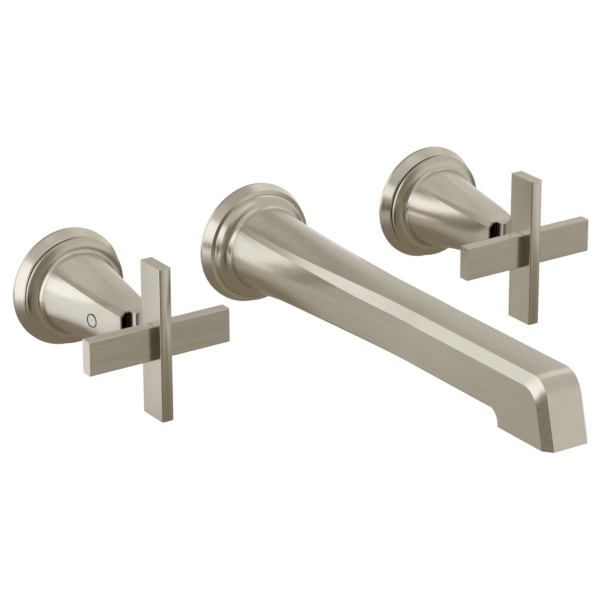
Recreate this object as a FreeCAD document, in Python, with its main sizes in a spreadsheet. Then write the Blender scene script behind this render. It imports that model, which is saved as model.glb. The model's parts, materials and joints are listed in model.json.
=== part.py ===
import FreeCAD, Part
import math
import os
import re

import Sketcher

# Wall mounted bath faucet: two cross handles either side of a long spout, with the
# valve set that stands behind the finished wall.
#
# World frame: X runs right along the wall, Y runs into the wall, Z is up, and the
# origin lies on the finished wall at the axis of the spout.
# Local frame of the trim and the valves: x as in the world, y is the world's Z and
# z is the distance out from the wall, so a turned piece has its axis on local z.

SIZES = {
    # spacing, fits and allowances for cutting tools
    "handle_spacing": 203.2,
    "running_fit": 0.05,
    "slip": 0.02,
    "overshoot": 1.0,
    "tap_spare": 0.5,
    "key_share": 0.55,
    # handle flange
    "flange_foot_radius": 27.9,
    "flange_top_radius": 25.1,
    "flange_height": 5.75,
    "flange_edge": 0.5,
    "flange_rim": 1.5,
    "flange_bore": 18.3,
    "gasket_radius": 22.0,
    "gasket_height": 2.0,
    "glide_radius": 22.6,
    "glide_top": 6.6,
    # bell
    "bell_base": 6.95,
    "bell_rim_radius": 25.2,
    "bell_rim_edge": 0.3,
    "bell_rim_top": 8.5,
    "bell_band_radius": 20.5,
    "bell_band_top": 10.2,
    "bell_band_curve": 9.0,
    "bell_root_curve": 2.6,
    "bell_start": 12.2,
    "bell_start_radius": 19.2,
    "bell_corner_angle": 43.0,
    "bell_cavity_radius": 17.3,
    "bell_cavity_end": 36.0,
    "bell_cavity_end_radius": 11.6,
    "socket_end": 49.2,
    "neck_level": 62.3,
    "neck_half_width": 8.2,
    "neck_half_height": 8.9,
    "neck_chamfer": 2.1,
    "neck_wall": 0.7,
    "neck_pocket_depth": 7.5,
    # tang and cross
    "tang_half_height": 9.0,
    "tang_root_half": 3.9,
    "tang_shoulder_level": 65.6,
    "tang_curve": 2.4,
    "tang_narrow_level": 67.0,
    "gusset_level": 67.7,
    "gusset_half_height": 12.7,
    "bar_thickness": 6.0,
    "bar_width": 16.0,
    "bar_back": 72.0,
    "bar_length_upright": 71.9,
    "bar_length_level": 71.5,
    "bar_crown": 12.0,
    "bar_edge": 0.35,
    "level_bar_back": 77.0,
    "cross_screw_radius": 1.5,
    "cross_screw_head": 2.8,
    "cross_screw_head_height": 3.0,
    "cross_screw_end": 82.0,
    # set screw and its cap
    "cap_level": 44.1,
    "cap_reach": 12.25,
    "cap_radius": 2.75,
    "cap_gap": 0.35,
    "cap_thickness": 1.2,
    "cap_tilt": 11.5,
    "set_screw_radius": 2.5,
    "set_screw_length": 3.8,
    "hex_key_radius": 1.4,
    # stem extension
    "extension_radius": 6.5,
    "extension_start": -22.0,
    "extension_web": -9.0,
    "extension_web_top": -5.0,
    "extension_end": 49.0,
    "extension_bore": 4.6,
    "extension_screw_radius": 2.0,
    "extension_screw_head": 3.5,
    "extension_screw_head_height": 2.6,
    "extension_screw_end": -20.0,
    # cartridge
    "stem_radius": 4.0,
    "stem_top": -10.0,
    "stem_tap_depth": 12.0,
    "stem_groove": -40.0,
    "stem_groove_half": 1.0,
    "stem_ring_section": 0.5,
    "disc_radius": 8.0,
    "disc_chamber_radius": 8.2,
    "seat_level": -70.0,
    "seat_seal_height": 2.0,
    "seat_seal_bore": 6.0,
    "fixed_disc_base": -67.5,
    "disc_face": -65.0,
    "moving_disc_top": -62.6,
    "stem_base_top": -58.0,
    "disc_chamber_top": -54.0,
    "disc_port_radius": 2.2,
    "disc_port_offset": 4.2,
    "cartridge_radius": 10.95,
    "cartridge_shoulder_radius": 12.9,
    "cartridge_shoulder_base": -44.0,
    "cartridge_shoulder_top": -41.0,
    "cartridge_nose_radius": 8.5,
    "cartridge_nose_top": -26.0,
    "side_port_radius": 3.0,
    "side_port_level": -58.5,
    # bonnet nut
    "nut_bore": 8.7,
    "nut_top": -29.0,
    "nut_seat": -34.0,
    "nut_flats": 25.0,
    # trim sleeve
    "sleeve_radius": 18.2,
    "sleeve_bore": 15.2,
    "sleeve_start": -43.8,
    "sleeve_end": 5.0,
    # valve body
    "chamber_radius": 11.0,
    "valve_radius": 17.0,
    "valve_back": -96.0,
    "valve_neck_radius": 15.1,
    "valve_neck_base": -44.0,
    "valve_mouth": -34.0,
    "valve_mouth_radius": 13.0,
    "passage_radius": 6.0,
    "passage_back": -88.0,
    "inlet_level": -79.0,
    "inlet_boss_radius": 14.0,
    "inlet_boss_end": 36.0,
    "inlet_socket_start": 24.0,
    "pipe_radius": 10.6,
    "pipe_bore": 7.5,
    "inlet_end": 62.0,
    "inlet_hex_start": 37.0,
    "inlet_hex_end": 45.0,
    "inlet_hex_flats": 26.0,
    # crossover and centre outlet
    "water_level": -60.0,
    "tube_radius": 8.0,
    "tube_bore": 6.0,
    "tube_depth": 3.0,
    "tee_radius": 15.0,
    "tee_back": -76.0,
    "tee_front": -38.0,
    "tee_bore_back": -70.0,
    "tee_socket": -52.0,
    "nipple_front": 38.0,
    # bracket
    "bracket_length": 262.0,
    "bracket_width": 40.0,
    "bracket_thickness": 2.5,
    "bracket_corner": 6.0,
    "bracket_hole_radius": 2.8,
    "bracket_hole_pitch_x": 244.0,
    "bracket_hole_pitch_z": 24.0,
    "wood_screw_radius": 2.4,
    "wood_screw_shank": 2.55,
    "wood_screw_thread_level": -99.0,
    "wood_screw_length": 18.0,
    "wood_screw_point": 3.6,
    "wood_screw_head": 4.6,
    "wood_screw_head_height": 2.6,
    "valve_screw_radius": 2.5,
    "valve_screw_length": 6.0,
    "valve_screw_head": 4.5,
    "valve_screw_head_height": 2.5,
    # spout flange
    "spout_foot_radius": 29.2,
    "spout_foot_top_radius": 27.3,
    "spout_foot_top": 6.3,
    "spout_step_radius": 25.5,
    "spout_step_level": 6.5,
    "spout_collar_radius": 23.0,
    "spout_collar_top": 10.2,
    "spout_collar_curve": 7.0,
    "spout_root_radius": 20.4,
    "spout_root_level": 13.2,
    "spout_root_curve": 4.0,
    "spout_flare_base": 12.0,
    "spout_side_angle": 40.0,
    "spout_corner_angle": 43.0,
    "spout_gasket_radius": 25.0,
    "spout_gasket_bore": 16.0,
    # spout along its length
    "spout_half_width": 12.1,
    "spout_top_half": 8.7,
    "spout_side_top": 8.7,
    "spout_top": 13.4,
    "spout_crown": 13.8,
    "spout_under": 10.2,
    "spout_under_edge": 1.4,
    "spout_straight": 150.0,
    "spout_drop_start": 201.9,
    "spout_drop_radius": 7.0,
    "spout_drop": 16.6,
    "spout_side_front": 239.3,
    "spout_front": 243.4,
    "spout_lean": 0.25,
    "spout_side_corner": 9.0,
    "spout_front_corner": 10.0,
    # spout inside
    "socket_radius": 14.05,
    "socket_depth": 40.0,
    "channel_radius": 7.2,
    "channel_rise": 2.0,
    "outlet_reach": 225.0,
    "outlet_thread_radius": 10.6,
    "outlet_ceiling": -7.0,
    # adapter on the nipple
    "adapter_radius": 14.0,
    "adapter_start": 6.0,
    "adapter_end": 36.0,
    "adapter_groove_first": 13.0,
    "adapter_groove_second": 20.0,
    "adapter_groove_half": 1.1,
    "adapter_groove_radius": 12.7,
    "adapter_ring_section": 0.65,
    "spout_screw_level": 29.0,
    "spout_screw_length": 3.4,
    # aerator
    "aerator_radius": 10.55,
    "aerator_bottom": -15.7,
    "aerator_top": -8.6,
    "aerator_bore": 9.2,
    "aerator_lip": 8.2,
    "aerator_lip_height": 0.8,
    "insert_radius": 9.1,
    "insert_top": -9.2,
    "insert_rim": 7.4,
    "insert_recess": 0.9,
    "mesh_hole": 0.62,
    "mesh_pitch": 2.1,
    "aerator_gasket_bore": 6.8,
}

# Sections of the bell between its round start and its neck, from the wall out:
# name of the level, then the corner points of a facet and the curve of the facets.
BELL_SECTIONS = {
    "low": {"level": 24.0, "side_x": 12.6, "side_y": 11.5, "top_x": 11.3, "top_y": 12.8, "curve": 18.6},
    "middle": {"level": 38.0, "side_x": 11.2, "side_y": 9.7, "top_x": 9.5, "top_y": 11.4, "curve": 22.0},
    "high": {"level": 50.0, "side_x": 10.0, "side_y": 8.3, "top_x": 8.0, "top_y": 10.3, "curve": 32.0},
}

# Sections of the spout while it changes from round to its straight form.
SPOUT_SECTIONS = {
    "first": {"level": 33.0, "side_x": 14.9, "side_y": 11.3, "top_x": 12.7, "top_y": 13.6,
              "under_x": 12.4, "under_y": 13.8, "low_y": 11.6, "side_curve": 18.7,
              "top_curve": 18.7, "under_curve": 18.7},
    "second": {"level": 60.0, "side_x": 14.0, "side_y": 10.1, "top_x": 11.8, "top_y": 12.9,
               "under_x": 12.4, "under_y": 12.2, "low_y": 10.8, "side_curve": 36.0,
               "top_curve": 22.0, "under_curve": 40.0},
    "third": {"level": 92.0, "side_x": 12.8, "side_y": 8.7, "top_x": 10.2, "top_y": 12.9,
              "under_x": 11.7, "under_y": 11.2, "low_y": 9.9, "side_curve": 150.0,
              "top_curve": 40.0, "under_curve": 150.0},
    "fourth": {"level": 122.0, "side_x": 12.3, "side_y": 8.7, "top_x": 9.1, "top_y": 13.3,
               "under_x": 11.0, "under_y": 10.4, "low_y": 9.1, "side_curve": 600.0,
               "top_curve": 75.0, "under_curve": 600.0},
}
for prefix, table in (("bell", BELL_SECTIONS), ("spout", SPOUT_SECTIONS)):
    for name, entries in table.items():
        for key, number in entries.items():
            SIZES[prefix + "_" + name + "_" + key] = number

# Holes of the aerator: rows either side of the middle one, and their reach in pitches.
MESH_ROWS = 3
MESH_REACH = 3.2

doc = FreeCAD.newDocument("wall_faucet")
sheet = doc.addObject("Spreadsheet::Sheet", "dims")
for row, (name, number) in enumerate(SIZES.items(), start=1):
    sheet.set("A%d" % row, name.replace("_", " "))
    sheet.set("B%d" % row, str(number))
    sheet.setAlias("B%d" % row, name)
doc.recompute()

NAME = re.compile(r"[a-z][a-z_]*[a-z]")
PARTS = []


def full(expression):
    """Turn sheet names in an expression into references to the sheet."""
    return NAME.sub(lambda m: "dims." + m.group(0) if m.group(0) in SIZES else m.group(0), str(expression))


def value(expression):
    """Number an expression stands for now."""
    return float(sheet.evalExpression(full(expression)))


def bind(thing, prop, expression):
    """Drive a property of an object from the sheet."""
    thing.setExpression(prop, full(expression))


def seat(thing, shift=("0", "0", "0"), axis=None, angle="0"):
    """Place an object by a shift and a turn about an axis, both driven from the sheet."""
    turn = FreeCAD.Rotation(FreeCAD.Vector(*axis), 1.0) if axis else FreeCAD.Rotation()
    thing.Placement = FreeCAD.Placement(FreeCAD.Vector(0, 0, 0), turn)
    for letter, expression in zip("xyz", shift):
        bind(thing, "Placement.Base." + letter, expression)
    if axis:
        bind(thing, "Placement.Rotation.Angle", angle)


def keep(thing, label, axis_x="0"):
    """Name a finished sub-part and stand it out from the wall at its place along X."""
    thing.Label = label
    seat(thing, (axis_x, "0", "0"), (1, 0, 0), "90")
    PARTS.append(thing)
    return thing


def keep_here(thing, label):
    """Name a finished sub-part that is already drawn in the world frame."""
    thing.Label = label
    PARTS.append(thing)
    return thing


def new_body(name):
    return doc.addObject("PartDesign::Body", name)


def arc_between(start, end, radius, outward):
    """Arc shorter than half a turn; outward arcs run anticlockwise from start to end."""
    dx, dy = end[0] - start[0], end[1] - start[1]
    chord = math.hypot(dx, dy)
    side = 1 if outward else -1
    lift = math.sqrt(max(radius ** 2 - chord ** 2 / 4, 0)) * side / chord
    centre = ((start[0] + end[0]) / 2 - dy * lift, (start[1] + end[1]) / 2 + dx * lift)
    first, last = (start, end) if outward else (end, start)
    angles = [math.atan2(p[1] - centre[1], p[0] - centre[0]) for p in (first, last)]
    if angles[1] < angles[0]:
        angles[1] += 2 * math.pi
    circle = Part.Circle(FreeCAD.Vector(centre[0], centre[1], 0), FreeCAD.Vector(0, 0, 1), radius)
    return Part.ArcOfCircle(circle, angles[0], angles[1])


def draw(sketch, points, arcs=None, hollows=None):
    """Closed anticlockwise outline; arcs and hollows give the radius of curved edges."""
    arcs, hollows = arcs or {}, hollows or {}
    spots = [(value(x), value(y)) for x, y in points]
    edges = []
    for index, start in enumerate(spots):
        end = spots[(index + 1) % len(spots)]
        radius = arcs.get(index, hollows.get(index))
        if radius is None:
            edge = Part.LineSegment(FreeCAD.Vector(*start, 0), FreeCAD.Vector(*end, 0))
        else:
            edge = arc_between(start, end, value(radius), index in arcs)
        tag = sketch.addGeometry(edge, False)
        ends = (2, 1) if index in hollows else (1, 2)
        edges.append((tag, ends))
        if radius is not None:
            rule = sketch.addConstraint(Sketcher.Constraint("Radius", tag, value(radius)))
            bind(sketch, "Constraints[%d]" % rule, radius)
    for index, (tag, ends) in enumerate(edges):
        follower, follower_ends = edges[(index + 1) % len(edges)]
        sketch.addConstraint(Sketcher.Constraint("Coincident", tag, ends[1], follower, follower_ends[0]))
        for kind, spot, expression in zip(("DistanceX", "DistanceY"), spots[index], points[index]):
            rule = sketch.addConstraint(Sketcher.Constraint(kind, -1, 1, tag, ends[0], spot))
            bind(sketch, "Constraints[%d]" % rule, expression)


def new_sketch(body, plane, level="0"):
    """Sketch on an origin plane of the body, raised along that plane's normal."""
    sketch = body.newObject("Sketcher::SketchObject", body.Name + "_sketch")
    support = [item for item in body.Origin.OriginFeatures if item.Role == plane][0]
    sketch.AttachmentSupport = [(support, "")]
    sketch.MapMode = "FlatFace"
    bind(sketch, "AttachmentOffset.Base.z", level)
    return sketch


def turned(name, points, arcs=None, hollows=None):
    """Body of revolution about local z from an outline of (radius, distance) points."""
    body = new_body(name)
    sketch = new_sketch(body, "XZ_Plane")
    draw(sketch, points, arcs, hollows)
    turn = body.newObject("PartDesign::Revolution", name + "_turn")
    turn.Profile = sketch
    turn.ReferenceAxis = (sketch, ["V_Axis"])
    turn.Angle = 360
    body.Tip = turn
    return body


def tube(name, outer, inner, start, end):
    """Plain round sleeve or washer."""
    return turned(name, [(inner, start), (outer, start), (outer, end), (inner, end)])


def extruded(name, plane, points, length, level="0", centred=False, arcs=None, hollows=None):
    """Body raised from an outline on one of its origin planes."""
    body = new_body(name)
    sketch = new_sketch(body, plane, level)
    draw(sketch, points, arcs, hollows)
    pad = body.newObject("PartDesign::Pad", name + "_pad")
    pad.Profile = sketch
    bind(pad, "Length", length)
    pad.Midplane = centred
    body.Tip = pad
    return body


def lofted(name, plane, sections, ruled=False):
    """Body through a list of (level, points, arcs, hollows) outlines."""
    body = new_body(name)
    sketches = []
    for level, points, arcs, hollows in sections:
        sketch = new_sketch(body, plane, level)
        draw(sketch, points, arcs, hollows)
        sketches.append(sketch)
    loft = body.newObject("PartDesign::AdditiveLoft", name + "_loft")
    loft.Profile = sketches[0]
    loft.Sections = sketches[1:]
    loft.Ruled = ruled
    body.Tip = loft
    return body


def rod(name, radius, length, shift=("0", "0", "0"), axis=None, angle="0"):
    """Round bar used to drill or to build up another piece."""
    bar = doc.addObject("Part::Cylinder", name)
    bind(bar, "Radius", radius)
    bind(bar, "Height", length)
    seat(bar, shift, axis, angle)
    return bar


def join(name, pieces):
    whole = doc.addObject("Part::MultiFuse", name)
    whole.Shapes = pieces
    whole.Refine = False
    return whole


def gather(name, pieces):
    """Several separate solids kept under one name."""
    group = doc.addObject("Part::Compound", name)
    group.Links = pieces
    return group


def less(name, base, tools):
    """Base with the tools cut away."""
    tool = tools[0] if len(tools) == 1 else join(name + "_tools", tools)
    cut = doc.addObject("Part::Cut", name)
    cut.Base = base
    cut.Tool = tool
    return cut


def ring(name, radius, section, level):
    """Elastic ring of round section about local z."""
    torus = doc.addObject("Part::Torus", name)
    bind(torus, "Radius1", radius)
    bind(torus, "Radius2", section)
    seat(torus, ("0", "0", level))
    return torus


def prism(name, flats, length, level):
    """Six sided bar about local z, by its size across the flats."""
    bar = doc.addObject("Part::Prism", name)
    bar.Polygon = 6
    bind(bar, "Circumradius", "(%s) / sqrt(3)" % flats)
    bind(bar, "Height", length)
    seat(bar, ("0", "0", level))
    return bar


def screw(name, shank, head, seat_level, head_height):
    """Screw on local z with its head out from the wall; shank is its outline from the tip to the seat."""
    top = "%s + %s" % (seat_level, head_height)
    body = turned(name + "_blank", shank + [(head, seat_level), (head, top), ("0", top)])
    recess = prism(name + "_key", head, head_height, "%s - key_share * (%s)" % (top, head_height))
    return less(name, body, [recess])


def facet_points(side_x, side_y, top_x, top_y, under_x=None, under_y=None, low_y=None):
    """Eight corners of a section with four facets and four narrow corner faces."""
    under_x = under_x or top_x
    under_y = under_y or top_y
    low_y = low_y or side_y
    return [(side_x, "-(%s)" % low_y), (side_x, side_y), (top_x, top_y), ("-(%s)" % top_x, top_y),
            ("-(%s)" % side_x, side_y), ("-(%s)" % side_x, "-(%s)" % low_y),
            ("-(%s)" % under_x, "-(%s)" % under_y), (under_x, "-(%s)" % under_y)]


# ---------------------------------------------------------------- handles and valves

def build_bell(side, prefix):
    """Faceted bell with its open neck and the tang that carries the cross."""
    foot = turned(prefix + "_bell_foot", [
        ("bell_cavity_radius", "bell_base"), ("bell_rim_radius - bell_rim_edge", "bell_base"),
        ("bell_rim_radius", "bell_base + bell_rim_edge"), ("bell_rim_radius", "bell_rim_top"),
        ("bell_band_radius", "bell_band_top"), ("bell_start_radius", "bell_start"),
        ("bell_cavity_radius", "bell_start")],
        arcs={3: "bell_band_curve"}, hollows={4: "bell_root_curve"})
    wide = "bell_start_radius * cos(bell_corner_angle)"
    narrow = "bell_start_radius * sin(bell_corner_angle)"
    round_start = facet_points(wide, narrow, narrow, wide)
    sections = [("bell_start", round_start, {i: "bell_start_radius" for i in range(8)}, None)]
    for name in BELL_SECTIONS:
        tag = "bell_%s_" % name
        points = facet_points(tag + "side_x", tag + "side_y", tag + "top_x", tag + "top_y")
        sections.append((tag + "level", points, {i: tag + "curve" for i in (0, 2, 4, 6)}, None))
    neck = facet_points("neck_half_width", "neck_half_height - neck_chamfer",
                        "neck_half_width - neck_chamfer", "neck_half_height")
    sections.append(("neck_level", neck, None, None))
    shell = lofted(prefix + "_bell_shell", "XY_Plane", sections)
    tang = extruded(prefix + "_tang", "XZ_Plane", [
        ("-tang_root_half", "neck_level - neck_pocket_depth - overshoot"),
        ("tang_root_half", "neck_level - neck_pocket_depth - overshoot"),
        ("tang_root_half", "tang_shoulder_level"), ("bar_thickness / 2", "tang_narrow_level"),
        ("bar_thickness / 2", "bar_back"), ("-bar_thickness / 2", "bar_back"),
        ("-bar_thickness / 2", "tang_narrow_level"), ("-tang_root_half", "tang_shoulder_level")],
        "2 * tang_half_height", centred=True, hollows={2: "tang_curve", 6: "tang_curve"})
    gusset = extruded(prefix + "_gusset", "YZ_Plane", [
        ("-tang_half_height", "gusset_level"), ("tang_half_height", "gusset_level"),
        ("gusset_half_height", "bar_back"), ("-gusset_half_height", "bar_back")],
        "bar_thickness", centred=True)
    cavity = turned(prefix + "_bell_cavity", [
        ("0", "bell_base - overshoot"), ("bell_cavity_radius", "bell_base - overshoot"),
        ("bell_cavity_radius", "bell_start"), ("bell_cavity_end_radius", "bell_cavity_end"),
        ("extension_radius + slip", "bell_cavity_end"), ("extension_radius + slip", "socket_end"),
        ("0", "socket_end")])
    inner_x, inner_y = "neck_half_width - neck_wall", "neck_half_height - neck_wall"
    pockets = []
    for hand, sign in (("right", 1), ("left", -1)):
        outline = [("tang_root_half", "-(%s)" % inner_y), (inner_x + " - neck_chamfer", "-(%s)" % inner_y),
                   (inner_x, "-(%s) + neck_chamfer" % inner_y), (inner_x, inner_y + " - neck_chamfer"),
                   (inner_x + " - neck_chamfer", inner_y), ("tang_root_half", inner_y)]
        if sign < 0:
            outline = [("-(%s)" % x, y) for x, y in reversed(outline)]
        pockets.append(extruded("%s_neck_pocket_%s" % (prefix, hand), "XY_Plane", outline,
                                "neck_pocket_depth + overshoot", "neck_level - neck_pocket_depth"))
    screw_way = rod(prefix + "_cross_screw_way", "cross_screw_radius + running_fit",
                    "bar_back - socket_end + 2 * overshoot", ("0", "0", "socket_end - overshoot"))
    turn = "%d * 90" % side
    set_way = rod(prefix + "_set_screw_way", "set_screw_radius + slip", "cap_reach",
                  ("0", "0", "cap_level"), (0, 1, 0), turn)
    cap_seat = rod(prefix + "_cap_seat", "cap_radius + cap_gap", "cap_thickness + 3 * overshoot",
                   ("%d * (cap_reach - cap_thickness * cos(cap_tilt))" % side, "0",
                    "cap_level - cap_thickness * sin(cap_tilt)"),
                   (0, 1, 0), "%d * (90 - cap_tilt)" % side)
    solid = join(prefix + "_bell_solid", [foot, shell, tang, gusset])
    return less(prefix + "_bell", solid, [cavity, screw_way, set_way, cap_seat] + pockets)


def build_upright(prefix):
    """Upright bar of the cross, notched for the level bar."""
    half, edge = "bar_thickness / 2", "bar_edge"
    front = "bar_back + bar_width"
    blank = extruded(prefix + "_upright_blank", "XZ_Plane", [
        ("-(%s) + %s" % (half, edge), "bar_back"), ("%s - %s" % (half, edge), "bar_back"),
        (half, "bar_back + " + edge), (half, "%s - %s" % (front, edge)),
        ("%s - %s" % (half, edge), front), ("-(%s) + %s" % (half, edge), front),
        ("-(%s)" % half, "%s - %s" % (front, edge)), ("-(%s)" % half, "bar_back + " + edge)],
        "bar_length_upright", centred=True, arcs={4: "bar_crown"})
    notch = extruded(prefix + "_upright_notch", "YZ_Plane", [
        ("-bar_width / 2 - slip", "level_bar_back"), ("bar_width / 2 + slip", "level_bar_back"),
        ("bar_width / 2 + slip", "level_bar_back + bar_thickness + slip"),
        ("-bar_width / 2 - slip", "level_bar_back + bar_thickness + slip")],
        "2 * bar_thickness", centred=True)
    way = rod(prefix + "_upright_way", "cross_screw_radius + running_fit",
              "level_bar_back - bar_back + 2 * overshoot", ("0", "0", "bar_back - overshoot"))
    return less(prefix + "_upright", blank, [notch, way])


def build_level_bar(prefix):
    """Level bar of the cross, which passes through the upright one."""
    half, edge = "bar_width / 2", "bar_edge"
    back, front = "level_bar_back", "level_bar_back + bar_thickness"
    blank = extruded(prefix + "_level_blank", "YZ_Plane", [
        ("-(%s) + %s" % (half, edge), back), ("%s - %s" % (half, edge), back),
        (half, "%s + %s" % (back, edge)), (half, "%s - %s" % (front, edge)),
        ("%s - %s" % (half, edge), front), ("-(%s) + %s" % (half, edge), front),
        ("-(%s)" % half, "%s - %s" % (front, edge)), ("-(%s)" % half, "%s + %s" % (back, edge))],
        "bar_length_level", centred=True)
    tapped = rod(prefix + "_level_tapped", "cross_screw_radius + slip",
                 "cross_screw_end - level_bar_back + tap_spare + overshoot",
                 ("0", "0", "level_bar_back - overshoot"))
    return less(prefix + "_level", blank, [tapped])


def build_valve_body(side, prefix):
    """Brass chamber with its supply boss below and its outlet toward the centre."""
    outer = turned(prefix + "_valve_outer", [
        ("0", "valve_back"), ("valve_radius", "valve_back"), ("valve_radius", "valve_neck_base"),
        ("valve_neck_radius", "valve_neck_base"), ("valve_neck_radius", "valve_mouth"), ("0", "valve_mouth")])
    boss = rod(prefix + "_inlet_boss", "inlet_boss_radius", "inlet_boss_end",
               ("0", "0", "inlet_level"), (1, 0, 0), "90")
    inner = turned(prefix + "_valve_inner", [
        ("0", "passage_back"), ("pipe_bore", "passage_back"), ("pipe_bore", "seat_level"),
        ("chamber_radius", "seat_level"), ("chamber_radius", "cartridge_shoulder_base"),
        ("valve_mouth_radius", "cartridge_shoulder_base"), ("valve_mouth_radius", "valve_mouth + overshoot"),
        ("0", "valve_mouth + overshoot")])
    inlet = rod(prefix + "_inlet_bore", "pipe_bore", "inlet_boss_end + overshoot",
                ("0", "0", "inlet_level"), (1, 0, 0), "90")
    socket = rod(prefix + "_inlet_socket", "pipe_radius + slip",
                 "inlet_boss_end - inlet_socket_start + overshoot",
                 ("0", "-inlet_socket_start", "inlet_level"), (1, 0, 0), "90")
    outlet = rod(prefix + "_outlet_bore", "passage_radius", "valve_radius + overshoot",
                 ("0", "0", "water_level"), (0, 1, 0), "%d * 90" % -side)
    tube_seat = rod(prefix + "_tube_seat", "tube_radius + slip", "tube_depth + overshoot",
                    ("%d * (valve_radius - tube_depth)" % -side, "0", "water_level"),
                    (0, 1, 0), "%d * 90" % -side)
    screw_way = rod(prefix + "_valve_screw_way", "valve_screw_radius + slip",
                    "valve_screw_length + tap_spare + overshoot", ("0", "0", "valve_back - overshoot"))
    solid = join(prefix + "_valve_solid", [outer, boss])
    return less(prefix + "_valve", solid, [inner, inlet, socket, outlet, tube_seat, screw_way])


def build_cartridge(prefix):
    """Cartridge shell with its side outlet ports."""
    shell = turned(prefix + "_cartridge_shell", [
        ("disc_chamber_radius", "seat_level + seat_seal_height"),
        ("cartridge_radius", "seat_level + seat_seal_height"),
        ("cartridge_radius", "cartridge_shoulder_base"),
        ("cartridge_shoulder_radius", "cartridge_shoulder_base"),
        ("cartridge_shoulder_radius", "cartridge_shoulder_top"),
        ("cartridge_nose_radius", "cartridge_shoulder_top"),
        ("cartridge_nose_radius", "cartridge_nose_top"),
        ("stem_radius + running_fit", "cartridge_nose_top"),
        ("stem_radius + running_fit", "disc_chamber_top"),
        ("disc_chamber_radius", "disc_chamber_top")])
    ports = rod(prefix + "_cartridge_ports", "side_port_radius", "4 * cartridge_radius",
                ("-2 * cartridge_radius", "0", "side_port_level"), (0, 1, 0), "90")
    return less(prefix + "_cartridge", shell, [ports])


def build_disc(prefix, name, start, end):
    """Polished ceramic disc with two round ports."""
    disc = doc.addObject("Part::Cylinder", "%s_%s_blank" % (prefix, name))
    bind(disc, "Radius", "disc_radius")
    bind(disc, "Height", "%s - (%s)" % (end, start))
    seat(disc, ("0", "0", start))
    length = "%s - (%s) + 2 * overshoot" % (end, start)
    ports = [rod("%s_%s_port_%s" % (prefix, name, hand), "disc_port_radius", length,
                 ("%d * disc_port_offset" % sign, "0", start + " - overshoot"))
             for hand, sign in (("right", 1), ("left", -1))]
    return less("%s_%s" % (prefix, name), disc, ports)


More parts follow.
